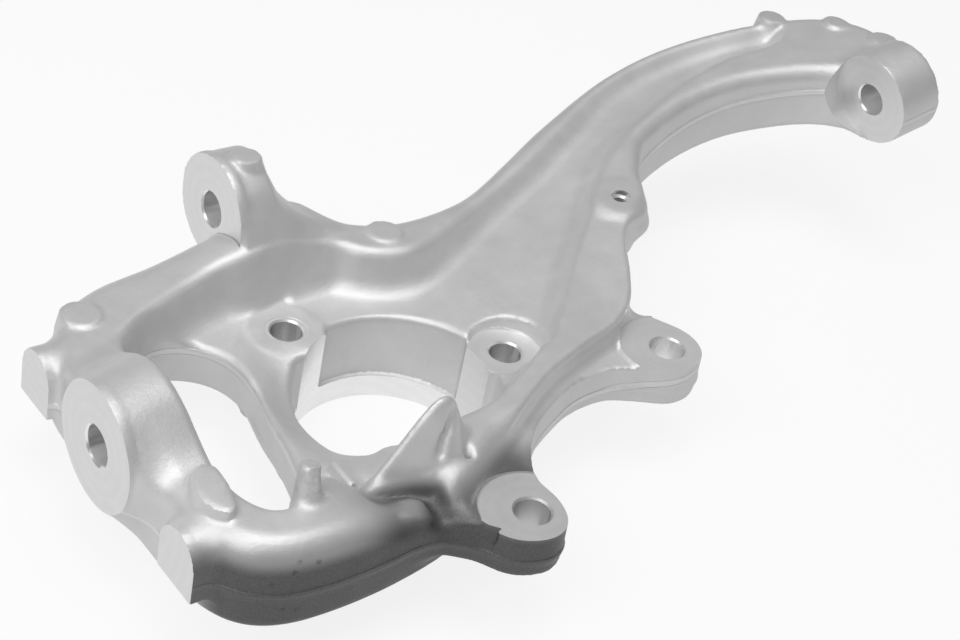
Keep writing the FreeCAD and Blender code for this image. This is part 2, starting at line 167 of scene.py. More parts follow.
# height of the pocket's floor along X
FLOOR_X = [25, 45, 61, 84, 106, 130, 156, 182, 214, 246, 272, 292]
FLOOR_Z = [41, 43.5, 46.5, 49.5, 52.5, 56, 61, 66.5, 71, 75.5, 80, 84]

# round pads left by clipped risers and ejectors: x, y, z of the top, radius
GATE_PADS = [(-112, 69, 60.5, 8.5), (-11, 88, 75.0, 4.5), (38, 72, 60.2, 8), (312, 121, 94.6, 7),
             (338, 100, 98.2, 6.5), (347, 74, 100.2, 7.5), (-20, 100.5, 95.4, 6.5)]

# dirt round the broken riser, and small dark marks in the skin
DIRT_AT = (-85, -62, 70)
MARKS = [(-111.7, -81, 43.5), (-104.7, -84.4, 48.5), (-103, -84.7, 53), (-95.5, -85.5, 51),
         (-107, -83.5, 30.5), (-102, -85, 29.5), (-107.4, 69.6, 60)]


class KnuckleShape(PropertyGroup):
    """Sizes of the casting that change its character."""
    step: FloatProperty(
        name="Grid step", description="Spacing of the grid that the cast form is worked out on, mm",
        default=1.25, min=0.8, max=4.0)
    ridge: FloatProperty(name="Ridge height", description="Crest of the ribs round the hub, mm", default=60.0)
    underside: FloatProperty(name="Underside", description="Underside of the frame, mm", default=19.0)
    draft: FloatProperty(
        name="Draft", description="Draft of the outer walls", default=math.radians(3.0),
        subtype="ANGLE", unit="ROTATION")
    roll: FloatProperty(name="Rail roll", description="Radius of the rails' outer edge, mm", default=10.0)
    crest_round: FloatProperty(
        name="Crest round", description="Radius of the pocket's upper edge, mm", default=4.0)
    root_round: FloatProperty(name="Root round", description="Radius at the pocket's floor, mm", default=7.0)
    belt: FloatProperty(
        name="Parting belt", description="Height that the trimmed parting belt stands proud, mm", default=0.9)
    triangles: FloatProperty(
        name="Triangles", description="Triangles of the cast form before machining, thousands",
        default=180.0, min=20.0, max=195.0)


class KnuckleFinish(PropertyGroup):
    """Colours and gloss of the two finishes."""
    cast_colour: FloatVectorProperty(
        name="Cast colour", description="Colour of the blasted cast skin",
        default=(0.76, 0.76, 0.76), size=3, subtype="COLOR", min=0.0, max=1.0)
    cast_rough: FloatProperty(name="Cast roughness", description="Roughness of the cast skin", default=0.47)
    cast_metallic: FloatProperty(
        name="Cast metal", description="Share of bare metal in the cast skin", default=0.45)
    # painted shade: how far the colour of the front wall below its roll is darkened to stand in for shade
    painted_wall_shade: FloatProperty(
        name="Wall shade", description="How much darker the front wall is below its roll", default=0.84)
    cut_colour: FloatVectorProperty(
        name="Machined colour", description="Colour of the machined faces",
        default=(0.86, 0.86, 0.86), size=3, subtype="COLOR", min=0.0, max=1.0)
    cut_rough: FloatProperty(
        name="Machined roughness", description="Roughness of the machined faces", default=0.42)
    cut_metallic: FloatProperty(
        name="Machined metal", description="Share of bare metal in flat machined faces", default=0.5)
    bore_metallic: FloatProperty(
        name="Bore metal", description="Share of bare metal in the walls of the bores", default=0.95)


class KnuckleStage(PropertyGroup):
    """Floor, lamps and camera."""
    floor_level: FloatProperty(name="Floor", description="Paleness of the floor", default=0.95)
    floor_glow: FloatProperty(
        name="Floor glow", description="Share of plain white in the floor as it is seen", default=0.85)
    floor_bounce: FloatProperty(
        name="Floor bounce", description="Paleness of the light scattered back", default=0.45)
    world_level: FloatProperty(
        name="World level", description="Strength of the even surrounding light", default=0.22)
    key_power: FloatProperty(
        name="Key power", description="Power of the lamp overhead", default=11.0, unit="POWER")
    side_power: FloatProperty(
        name="Side power", description="Power of the lamp at the left", default=8.5, unit="POWER")


def parting(x):
    """Height of the mould's parting face: level under the frame, then climbing with the neck."""
    return PARTING_Z + NECK_SLOPE * soft_rise(x - NECK_START_X, NECK_EASE)


def parting_belt(rise, shape):
    """How far the trimmed belt stands out at a height above the parting face.

    It is the difference of two logistic steps 1 / (1 + exp(-t / edge)), one belt's depth apart.
    """
    def step(t):
        return 1 / (1 + np.exp(-t / BELT_EDGE))
    return shape.belt * (step(rise + BELT_DEPTH) - step(rise))


def soft_rise(t, width):
    """Zero below nought and t above it, joined by a parabola of the given width."""
    h = np.clip(t + width, 0.0, 2 * width)
    return np.where(t > width, t, h * h / (4 * width))


def smooth(t, low, high):
    """Smooth step from nought at low to one at high: s * s * (3 - 2 s)."""
    s = np.clip((t - low) / (high - low), 0.0, 1.0)
    return s * s * (3 - 2 * s)


def glide(x, stations, heights, reach=12.0):
    """Heights between stations, straight runs softened by averaging over the reach on both sides."""
    shifts = np.linspace(-reach, reach, 7)
    return sum(np.interp(x + s, stations, heights) for s in shifts) / len(shifts)


def slab(t, centre, half):
    """Distance to a slab between two parallel faces: |t - centre| - half."""
    return np.abs(t - centre) - half


def rounded_both(a, b, r):
    """Common part of two forms; their edge is rounded to radius r."""
    outside = np.sqrt(np.maximum(r + a, 0.0) ** 2 + np.maximum(r + b, 0.0) ** 2)
    return np.minimum(np.maximum(a, b), -r) + outside


def rounded_either(a, b, r):
    """Two forms together; the corner between them is filled to radius r."""
    return -rounded_both(-a, -b, r)


def closed_curve(points, per_span=6):
    """Catmull-Rom curve through a closed ring of points: each span is the usual cubic of four neighbours."""
    ring = np.array(points, np.float32)
    t = (np.arange(per_span) / per_span)[None, :, None].astype(np.float32)
    a, b, c, d = (np.roll(ring, k, 0)[:, None, :] for k in (1, 0, -1, -2))
    bend, turn = 2 * a - 5 * b + 4 * c - d, 3 * b - a - 3 * c + d
    return (0.5 * (2 * b + (c - a) * t + bend * t ** 2 + turn * t ** 3)).reshape(-1, 2)


class Mould:
    """Signed distance to the metal on an even grid, in millimetres, negative inside.

    Forms are functions of x, y, z that return such a distance. Joining and carving fill or round the
    edge between the forms by a given radius, as the fillets of a casting pattern do.
    """
    CHUNK = 20000   # columns whose distance in plan is worked out at a time

    def __init__(self, low, high, step):
        self.low, self.step = np.array(low, float), step
        counts = np.ceil((np.array(high) - self.low) / step).astype(int) + 1
        self.axes = [(lo + step * np.arange(n)).astype(np.float32) for lo, n in zip(low, counts)]
        self.value = None
        self.plans = {}

    def patch(self, low=None, high=None):
        """Slices of the grid that cover a box, and its x, y, z."""
        if low is None:
            cuts = [slice(None)] * 3
        else:
            cuts = [slice(*np.searchsorted(axis, (lo, hi))) for axis, lo, hi in zip(self.axes, low, high)]
        x, y, z = (axis[cut] for axis, cut in zip(self.axes, cuts))
        return tuple(cuts), (x[:, None, None], y[None, :, None], z[None, None, :])

    def plan(self, points, cuts=(slice(None),) * 3):
        """Signed distance in plan to a closed smooth outline, for the columns of the grid.

        The distance is the least over the curve's chords; its sign comes from counting the chords
        that a ray along X crosses.
        """
        key = id(points)
        if key not in self.plans:
            a = closed_curve(points)
            b = np.roll(a, -1, 0)
            gx, gy = np.meshgrid(self.axes[0], self.axes[1], indexing="ij")
            q = np.stack([gx.ravel(), gy.ravel()], 1)
            best = np.full(len(q), np.inf, np.float32)
            inside = np.zeros(len(q), bool)
            for start in range(0, len(q), self.CHUNK):
                rows = slice(start, start + self.CHUNK)
                part = q[rows, None, :]
                chord = (b - a)[None]
                to = part - a[None]
                t = np.clip((to * chord).sum(2) / (chord ** 2).sum(2), 0.0, 1.0)
                best[rows] = (((to - t[..., None] * chord) ** 2).sum(2)).min(1)
                crosses = (a[None, :, 1] > part[..., 1]) != (b[None, :, 1] > part[..., 1])
                with np.errstate(divide="ignore", invalid="ignore"):
                    at = a[None, :, 0] + chord[..., 0] * to[..., 1] / chord[..., 1]
                inside[rows] = (crosses & (part[..., 0] < at)).sum(1) % 2 == 1
            signed = np.sqrt(best) * np.where(inside, -1, 1)
            self.plans[key] = signed.reshape(gx.shape).astype(np.float32)[:, :, None]
        return self.plans[key][cuts[0], cuts[1]]

    def join(self, form, radius, low, high):
        """Add a form within a box of the grid."""
        cuts, grid = self.patch(low, high)
        self.value[cuts] = rounded_either(self.value[cuts], form(*grid), radius)

    def carve(self, form, radius, low, high):
        """Take a form away within a box of the grid."""
        cuts, grid = self.patch(low, high)
        self.value[cuts] = rounded_both(self.value[cuts], -form(*grid), radius)


def post(at, along, length, r0, r1=None, edge=1.0):
    """Round post from a point along a direction: a cylinder, or a cone if its end radius differs."""
    u = Vector(along).normalized()
    r1 = r0 if r1 is None else r1
    lean = math.cos(math.atan2(r1 - r0, length))

    def form(x, y, z):
        dx, dy, dz = x - at[0], y - at[1], z - at[2]
        t = dx * u.x + dy * u.y + dz * u.z
        across = np.sqrt(np.maximum(dx * dx + dy * dy + dz * dz - t * t, 0.0))
        side = (across - r0 - (r1 - r0) * np.clip(t / length, -1, 2)) * lean
        return rounded_both(side, slab(t, length / 2, length / 2), edge)
    return form


def rod(points, r0, r1=None):
    """Round rod with ball ends along a line of points; its radius runs evenly from r0 to r1."""
    points = np.array(points, float)
    radii = np.linspace(r0, r0 if r1 is None else r1, len(points))

    def form(x, y, z):
        nearest = np.inf
        for a, b, ra, rb in zip(points[:-1], points[1:], radii[:-1], radii[1:]):
            d = b - a
            dx, dy, dz = x - a[0], y - a[1], z - a[2]
            t = np.clip((dx * d[0] + dy * d[1] + dz * d[2]) / (d @ d), 0.0, 1.0)
            away = np.sqrt((dx - t * d[0]) ** 2 + (dy - t * d[1]) ** 2 + (dz - t * d[2]) ** 2)
            nearest = np.minimum(nearest, away - ra - (rb - ra) * t)
        return nearest
    return form


def hub_bolt(i):
    """Place in plan of one of the three hub bolts."""
    a = math.radians(HUB_BOLT_START + 120 * i)
    return HUB_BOLT_CIRCLE_R * math.cos(a), HUB_BOLT_CIRCLE_R * math.sin(a)


def upper_axis():
    """Direction of the upper ball joint's bore, from its face inwards."""
    return math.cos(math.radians(UPPER_TILT)), 0.0, math.sin(math.radians(UPPER_TILT))


def crest(x, y, shape):
    """Height of the ribs' crest: level round the hub, climbing with the neck, lower by a bell curve at the
    front rail and higher by another at the steering arm."""
    level = shape.ridge + CREST_SLOPE * soft_rise(x - CREST_START_X, NECK_EASE)
    dip = RAIL_DIP * np.exp(-((x - RAIL_DIP_X) / RAIL_DIP_HALF) ** 2) * np.clip((-y - 36) / 16, 0, 1)
    lift = ARM_LIFT * np.exp(-((x - ARM_LIFT_X) / ARM_LIFT_HALF) ** 2)
    return level - dip + lift * smooth(y, 56, 74) * smooth(y, 104, 80)


def rib_side(x, y):
    """One along the rib between the caliper ears and the line bracket, nought elsewhere."""
    return smooth(x, 0, 25) * smooth(x, 190, 165) * smooth(y, 60, 45)


def pour_body(mould, shape):
    """Frame and neck: one outline with draft both ways from the parting face, under a rolled top."""
    _, (x, y, z) = mould.patch()
    rise = z - parting(x)
    side = mould.plan(BODY_PLAN) + math.tan(shape.draft) * np.abs(rise) - parting_belt(rise, shape)
    roll = np.interp(x, ROLL_X, [shape.roll, shape.roll] + NECK_ROLL)
    roll = roll + (RIB_ROLL - roll) * rib_side(x, y)
    body = rounded_both(side, z - crest(x, y, shape), roll)
    between_ears = smooth(x, -15, 10) * smooth(x, 108, 88) * smooth(-y, 8, 26)
    low = shape.underside - PARTING_Z + parting(x) + EARS_RELIEF * between_ears
    low = low - NECK_DROP * smooth(x, 130, 200)
    mould.value = rounded_both(body, low - z, BOTTOM_R).astype(np.float32)


def pour_flange(mould, shape):
    """Flange of the two caliper ears, with its own parting belt, and the ears' round ends."""
    cuts, (x, y, z) = mould.patch((-70, -120, 10), (150, 20, 75))
    rise = z - PARTING_Z
    plan = mould.plan(FLANGE_PLAN, cuts)
    for (end_x, end_y), _ in EARS:
        plan = rounded_either(plan, np.hypot(x - end_x, y - end_y) - EAR_R, EAR_JOIN_R)
    side = plan + math.tan(shape.draft) * np.abs(rise) - parting_belt(rise, shape)
    from_hole = np.minimum(*(np.hypot(x - hole_x, y - hole_y) for _, (hole_x, hole_y) in EARS))
    top = EAR_TOP_Z + EAR_SKIN * np.clip(0.4 - (from_hole - EAR_SPOT_R) / 3.0, 0, 1)
    flange = rounded_both(rounded_both(side, z - top, 0.8), EAR_BOTTOM_Z - z, 2.0)
    mould.value[cuts] = rounded_either(mould.value[cuts], flange, EAR_JOIN_R)


def pour_steering_arm(mould, shape):
    """Steering arm boss: a short drum whose gusset runs down into the rail, flush behind a sharp disc.

    The gusset lies under a plane that falls along X, within the rail's outline and under a tangent of the
    drum. All of it keeps clear of the pocket's wall, which leans outwards above the crest.
    """
    low, high = (-75, 60, 25), (60, 138, 112)
    cuts, (x, y, z) = mould.patch(low, high)
    half = TIE_DRUM / 2
    drum = rounded_both(np.hypot(y - TIE_Y, z - TIE_Z) - TIE_R + 0.6, np.abs(x - TIE_X - half) - half, 3.0)
    plane = (z - GUSSET_TOP + x - 0.1 * (y - 92)) / 1.42
    gusset = rounded_both(plane, slab(y, GUSSET_Y, GUSSET_HALF), 6.0)
    tangent = TANGENT_Z * (z - TIE_Z) + TANGENT_Y * (y - TIE_Y) - TIE_R
    gusset = rounded_both(rounded_both(gusset, tangent, 3.0), z - TIE_Z - 18, 3.0)
    gusset = rounded_both(gusset, mould.plan(BODY_PLAN, cuts) + 1.5, 5.0)
    filled = rounded_either(mould.value[cuts], rounded_either(drum, gusset, 8.0), 12.0)
    wall = mould.plan(POCKET_PLAN, cuts) + 0.5 * (crest(x, y, shape) - z)
    filled = rounded_both(filled, 1.0 - wall, 9.0)
    mould.value[cuts] = np.minimum(mould.value[cuts], rounded_both(filled, TIE_X + 1.2 - x, 0.6))
    mould.join(post((TIE_X - 0.3, TIE_Y, TIE_Z), (1, 0, 0), 5, TIE_R, edge=0.4), 0.6, low, high)


def pour_lower_boss(mould):
    """Lower ball joint boss: an arch along X whose skirts blend into the end wall, and two side pads."""
    low, high = (-142, -100, 8), (-80, 105, 90)
    arch = post((LOWER_X - 1, LOWER_Y - 0.6, LOWER_Z + 0.2), LOWER_ALONG, LOWER_LENGTH + 10,
                LOWER_R - 0.3, LOWER_BACK_R, edge=2.0)
    mould.join(arch, 14.0, low, high)
    disc = post((LOWER_X - 1, LOWER_Y, LOWER_Z), (1, 0, 0), 5.0, LOWER_R, edge=0.4)
    mould.join(disc, 1.2, low, high)
    for centre, width in SIDE_PADS:
        r = width / 2

        def pad(x, y, z, centre=centre, r=r):
            """Upright slab with a round top, clipped flush at both ends along X."""
            top = np.maximum(z - (SIDE_PAD_HIGH_Z - r), 0.0)
            side = np.sqrt((y - centre) ** 2 + top * top) - r
            side = np.maximum(side, SIDE_PAD_LOW_Z - z)
            return rounded_both(side, slab(x, SIDE_PAD_MID_X, SIDE_PAD_HALF), 0.6)
        mould.join(pad, 4.0, low, high)


def carve_pocket(mould, shape):
    """Web pocket of frame and neck: drafted walls down from the crest line, rounded into the floor."""
    _, (x, y, z) = mould.patch()
    floor = glide(x, FLOOR_X, FLOOR_Z)
    slope = np.interp(x, [40, 110], [HUB_WALL, NECK_WALL])
    slope = slope + (ARM_WALL - slope) * smooth(y, 10, 45)
    side = mould.plan(POCKET_PLAN) + slope * (crest(x, y, shape) - z)
    lean = 1 / np.sqrt(1 + slope ** 2)
    pocket = rounded_both(side * lean, floor - z, shape.root_round)
    edge = shape.crest_round - 2.0 * rib_side(x, y)
    mould.value = rounded_both(mould.value, -pocket, edge).astype(np.float32)


def carve_window(mould, shape):
    """Kidney window, drafted both ways from the parting face."""
    low, high = (-122, -75, -3), (-40, 75, 90)
    cuts, (x, y, z) = mould.patch(low, high)
    side = mould.plan(WINDOW_PLAN, cuts) - math.tan(shape.draft) * np.abs(z - PARTING_Z)
    mould.value[cuts] = rounded_both(mould.value[cuts], -side, 3.5)


def pour_hub(mould, shape):
    """Barrel and bolt pads, cast bore, sunk pad on the neck side and the ring that falls to the bore."""
    low, high = (-90, -90, -3), (100, 90, 75)

    def barrel(x, y, z):
        """Radius = seat + lobe * cos(turn - lobe's angle)^2, above the flare's start widened to its end."""
        toward = np.maximum(0.0, np.cos(np.arctan2(y, x) - math.radians(SEAT_LOBE_AT)))
        r = SEAT_R + SEAT_LOBE * toward ** 2 + BARREL_FLARE * np.clip((z - FLARE_START_Z) / FLARE_RISE, 0, 1)
        return rounded_both(np.hypot(x, y) - r, slab(z, BARREL_MID_Z, BARREL_HALF), 1.0)
    mould.join(barrel, 4.0, low, high)

    for i in range(3):
        mould.join(post((*hub_bolt(i), 0), (0, 0, 1), PAD_Z + 0.4, PAD_R, edge=0.8), 2.0, low, high)

    def scoop(x, y, z):
        """All above a floor that is level with the pads and falls towards the bore on the window's side."""
        reach, turn = np.hypot(x, y), np.degrees(np.arctan2(y, x)) % 360
        fall = smooth(turn, 112, 172) * smooth(turn, 246, 198) * smooth(reach, SCOOP_R, 38)
        top = PAD_Z + 1.5 - SCOOP_FALL * fall
        return rounded_both(rounded_both((top - z) * 0.9, x + 14, 2.0), reach - SCOOP_R, 2.0)
    mould.carve(scoop, 3.0, low, high)

    def cast_bore(x, y, z):
        """Drafted bore above the machined band, held off the three bolt pads."""
        reach = np.hypot(x, y) - CAST_BORE_R - 0.02 * (z - BAND_TOP_Z)
        for i in range(3):
            reach = rounded_both(reach, PAD_R - np.hypot(x - hub_bolt(i)[0], y - hub_bolt(i)[1]), 1.0)
        return rounded_both(reach, BAND_TOP_Z - z, 0.8)
    mould.carve(cast_bore, 2.5, low, high)
    mould.carve(post((0, 0, -10), (0, 0, 1), 120, BORE_R - 2.5), 0.3, low, high)
    x0, y0 = hub_bolt(0)
    mould.carve(post((x0, y0, PAD_Z + 0.3), (0, 0, 1), 20, PAD_R - 0.2, PAD_R + 3), 1.3, low, high)


def pour_front_details(mould):
    """Horn beside the bore, broken riser, gate pad of the front rail and the small bar by the third pad."""
    low, high = (-130, -100, 36), (40, -20, 92)
    mould.carve(rod(VALLEY, 5.0, 3.2), 7.0, low, high)
    mould.join(rod(RAIL_RIDGE, 3.0), 3.0, low, high)

    def horn(x, y, z):
        """Fin with one upright face and one that slants out downwards, under a crest that peaks midway."""
        a, b = np.array(HORN_START), np.array(HORN_END)
        u = (b - a) / np.linalg.norm(b - a)
        along = (x - a[0]) * u[0] + (y - a[1]) * u[1]
        across = -(x - a[0]) * u[1] + (y - a[1]) * u[0]
        top = np.interp(along, HORN_ALONG, HORN_TOP)
        front = (-across - HORN_CREST - HORN_SLANT * (top - z)) * 0.92
        body = rounded_both(rounded_both(across - HORN_FACE, front, 1.5), along - HORN_LENGTH, 2.0)
        return rounded_both(body, (z - top) * 0.62, 1.5)
    mould.join(horn, 3.0, low, high)
    mould.carve(rod(HORN_GROOVE, 1.0, 2.2), 1.5, low, high)
    mould.join(post(RISER_AT, RISER_ALONG, RISER_LENGTH, RISER_R, RISER_TOP_R, edge=1.0), 3.0, low, high)
    mould.carve(rod(RISER_GROOVE, 1.6, 1.0), 1.5, low, high)
    cuts, (x, y, z) = mould.patch((-128, -66, 45), (-100, -26, 70))
    side = mould.plan(RAIL_PAD_PLAN, cuts) + 0.08 * (z - 56)
    pad = rounded_both(side, slab(z, RAIL_PAD_MID_Z, RAIL_PAD_HALF), 0.8)
    mould.value[cuts] = rounded_either(mould.value[cuts], pad, 1.2)

    def bar(x, y, z):
        """Low bar along Y."""
        sides = rounded_both(slab(y, BAR_Y, BAR_HALF_Y), slab(x, BAR_X, BAR_HALF_X), 1.2)
        return rounded_both(sides, z - BAR_TOP_Z, 1.2)
    mould.join(bar, 2.0, low, high)


def pour_neck_end(mould):
    """Upper ball joint boss and the nose of the line bracket."""
    u = upper_axis()
    start = (UPPER_X - u[0], UPPER_Y, UPPER_Z - u[2])
    boss = post(start, u, UPPER_LENGTH + 1, UPPER_R, edge=1.0)
    mould.join(boss, 5.0, (285, 10, 45), (358, 100, 116))
    low, high = (120, 15, 30), (185, 75, 80)
    foot = post((SCREW_X, SCREW_Y, 42), (0, 0, 1), 16, 8, SCREW_R + 1, edge=2.0)
    mould.join(foot, 6.0, low, high)
    head = post((SCREW_X, SCREW_Y, 56), (0, 0, 1), SCREW_TOP_Z - 57, SCREW_R + 1, SCREW_R, edge=2.0)
    mould.join(head, 7.0, low, high)


def pour_gate_pads(mould):
    """Low round pads on the crests."""
    for x, y, z, r in GATE_PADS:
        mould.join(post((x, y, z - 8), (0, 0, 1), 8.8, r + 1.5, r, edge=0.8), 1.5,
                   (x - 20, y - 20, z - 16), (x + 20, y + 20, z + 8))


def carve_underside(mould, shape):
    """Shallow recess under the neck."""
    cuts, (x, y, z) = mould.patch((70, 0, 0), (300, 130, 90))
    low = parting(x) - NECK_HALF_DEPTH
    side = mould.plan(UNDER_PLAN, cuts) + 0.2 * (z - low)
    recess = rounded_both(side, z - low - UNDER_DEPTH, 5.0)
    mould.value[cuts] = rounded_both(mould.value[cuts], -recess, 2.5)


def cast_surface(shape):
    """Vertices and faces of the raw casting, where the distance is nought."""
    margin = 3.0
    low, high = ([c / MM for c in corner] for corner in cad_box)
    mould = Mould([c - margin for c in low], [c + margin for c in high], shape.step)
    pour_body(mould, shape)
    carve_pocket(mould, shape)
    pour_flange(mould, shape)
    pour_steering_arm(mould, shape)
    pour_lower_boss(mould)
    carve_window(mould, shape)
    pour_hub(mould, shape)
    pour_front_details(mould)
    pour_neck_end(mould)
    pour_gate_pads(mould)
    carve_underside(mould, shape)
    band = 4 * shape.step
    grid = openvdb.FloatGrid(band)
    grid.copyFromArray(np.clip(mould.value, -band, band).astype(np.float32))
    grid.transform = openvdb.createLinearTransform(voxelSize=shape.step)
    points, triangles, quads = grid.convertToPolygons(isovalue=0.0, adaptivity=0.0)
    return (points + mould.low) * MM, triangles, quads


def mesh_of(name, points, *face_sets):
    """Mesh from an array of points and arrays of triangles or quads."""
    faces = [f for f in face_sets if len(f)]
    loops = np.concatenate([f.ravel() for f in faces]).astype(np.int32)
    sizes = np.concatenate([np.full(len(f), f.shape[1]) for f in faces])
    mesh = bpy.data.meshes.new(name)
    mesh.vertices.add(len(points))
    mesh.vertices.foreach_set("co", np.asarray(points, np.float32).ravel())
    mesh.loops.add(len(loops))
    mesh.loops.foreach_set("vertex_index", loops)
    mesh.polygons.add(len(sizes))
    mesh.polygons.foreach_set("loop_start", np.concatenate([[0], np.cumsum(sizes)[:-1]]).astype(np.int32))
    mesh.update(calc_edges=True)
    mesh.validate()
    return mesh


def turned(profile, at, along, segments=96):
    """Surface of revolution about an axis: profile is (radius, distance along) from one end to the other.

    Point (i, j) is at + along * distance_i + radius_i * (cos j, sin j) in the plane across the axis;
    both ends close on the axis in a fan.
    """
    axis = Vector(along).normalized()
    side = axis.orthogonal().normalized()
    other = axis.cross(side)
    r, t = np.array(profile).T
    angle = np.linspace(0, 2 * np.pi, segments, endpoint=False)
    rings = (np.array(at)[None, None] + t[:, None, None] * np.array(axis)[None, None]
             + r[:, None, None] * (np.cos(angle)[None, :, None] * np.array(side)
                                   + np.sin(angle)[None, :, None] * np.array(other)))
    n = len(profile)
    j = np.arange(segments)
    k = (j + 1) % segments
    base = (np.arange(n - 1) * segments)[:, None]
    quads = np.stack([base + j, base + k, base + segments + k, base + segments + j], 2).reshape(-1, 4)
    ends = [np.array(at) + np.array(axis) * t[0], np.array(at) + np.array(axis) * t[-1]]
    points = np.concatenate([rings.reshape(-1, 3), ends])
    first, last = np.full(segments, n * segments), np.full(segments, n * segments + 1)
    top = (n - 1) * segments
    caps = np.concatenate([np.stack([k, j, first], 1), np.stack([top + j, top + k, last], 1)])
    return points, quads, caps


def drill(at, along, hole_r, depth, spot_r, spot_depth, taper=0.0):
    """Cutter for a hole with a bevelled mouth that opens against the direction, and its spot face."""
    spot = [(spot_r - taper, -spot_depth), (spot_r, 0.0)]
    return turned(spot + [(hole_r + BEVEL, 0.0), (hole_r, BEVEL), (hole_r, depth)], at, along)


def cutters():
    """Three sets of cutters; those of one set don't meet each other. The pad under the left wall keeps
    its cast skin round the hole."""
    down, out = (0, 0, -1), (1, 0, 0)
    first = [turned([(BORE_R, -20), (BORE_R, 120)], (0, 0, 0), (0, 0, 1), 160),
             drill((LOWER_X, LOWER_Y, LOWER_Z), out, LOWER_HOLE_R, 45, LOWER_R + 4, 8),
             drill((TIE_X, TIE_Y, TIE_Z), out, TIE_HOLE_R, 80, TIE_R + 0.6, 0.5),
             drill((UPPER_X, UPPER_Y, UPPER_Z), upper_axis(), UPPER_HOLE_R, 60, UPPER_R + 0.3, 26, taper=9),
             drill((SCREW_X, SCREW_Y, SCREW_TOP_Z), down, SCREW_HOLE_R, 15, SCREW_HOLE_R + 1.2, 8)]
    for _, (x, y) in EARS:
        first.append(drill((x, y, EAR_TOP_Z), down, EAR_HOLE_R, 60, EAR_SPOT_R, 25))
    second = []
    for i in range(3):
        spot_r, spot_depth = (HUB_BOLT_HOLE_R + 2.5, 1.0) if i == 1 else (PAD_R - 0.6, 15)
        second.append(drill((*hub_bolt(i), PAD_Z), down, HUB_BOLT_HOLE_R, 60, spot_r, spot_depth))
    for centre, width in SIDE_PADS:
        second.append(turned([(width, -20), (width, 0)], (SIDE_PAD_X, centre, 43), out, 64))
    seat = turned([(SEAT_R + SEAT_LOBE + 15, -20), (SEAT_R + SEAT_LOBE + 15, 0)], (0, 0, 0), (0, 0, 1), 64)
    return first, second, [seat]


def gathered(name, pieces, material):
    """One mesh object, in metres, from several separate closed surfaces."""
    points, quads, caps, count = [], [], [], 0
    for p, q, c in pieces:
        points.append(p * MM)
        quads.append(q + count)
        caps.append(c + count)
        count += len(p)
    mesh = mesh_of(name, np.concatenate(points), np.concatenate(quads), np.concatenate(caps))
    mesh.materials.append(material)
    obj = bpy.data.objects.new(name, mesh)
    bpy.context.scene.collection.objects.link(obj)
    return obj


class KNUCKLE_OT_casting(Operator):
    """Work out the cast form, take the machining cuts and put it in place of the CAD solid"""
    bl_idname = "knuckle.casting"
    bl_label = "Cast and machine the knuckle"

    def execute(self, context):
        shape, finish = context.scene.knuckle_shape, context.scene.knuckle_finish
        points, triangles, quads = cast_surface(shape)
        mesh = mesh_of("knuckle_skin", points, triangles, quads)
        skin = bpy.data.objects.new("knuckle_skin", mesh)
        context.scene.collection.objects.link(skin)
        mesh.materials.append(cast_material(finish))
        cut = cut_material(finish)
        mesh.materials.append(cut)
        thin = skin.modifiers.new("thin", "DECIMATE")
        thin.ratio = min(1.0, shape.triangles * 1000 / (len(triangles) + 2 * len(quads)))
        tools = [gathered(f"cutters_{i}", pieces, cut) for i, pieces in enumerate(cutters())]
        for tool in tools:
            boolean = skin.modifiers.new(tool.name, "BOOLEAN")
            boolean.operation, boolean.solver, boolean.object = "DIFFERENCE", "MANIFOLD", tool
        machined = bpy.data.meshes.new_from_object(skin.evaluated_get(context.evaluated_depsgraph_get()))
        if len(machined.polygons) == 0:
            raise RuntimeError("machining left nothing of the casting: a cutter isn't closed")
        skin.modifiers.clear()
        skin.data = machined
        for tool in tools:
            bpy.data.objects.remove(tool)
        machined.shade_smooth()
        machined.set_sharp_from_angle(angle=math.radians(SHARP_FROM))
        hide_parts("knuckle_casting")
        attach(skin, "root")
        return {"FINISHED"}


class Shade:
    """One shader value, a number or a socket, whose arithmetic builds the node tree."""

    def __init__(self, tree, socket):
        self.tree, self.socket = tree, socket

    def math(self, operation, *values):
        """Maths node of an operation on the values."""
        return self.tree.add("ShaderNodeMath", dict(enumerate(values)), operation=operation)

    def __add__(self, other):
        return self.math("ADD", self, other)

    def __sub__(self, other):
        return self.math("SUBTRACT", self, other)

    def __rsub__(self, other):
        return self.math("SUBTRACT", other, self)

    def __mul__(self, other):
        return self.math("MULTIPLY", self, other)

    __radd__, __rmul__ = __add__, __mul__

    def sine(self):
        return self.math("SINE", self)

    def least(self, other):
        return self.math("MINIMUM", self, other)

    def most(self, other):
        return self.math("MAXIMUM", self, other)

    def ramp(self, low, high):
        """Smooth step from nought at low to one at high."""
        return self.tree.add("ShaderNodeMapRange", {0: self, 1: low, 2: high},
                             interpolation_type="SMOOTHSTEP")


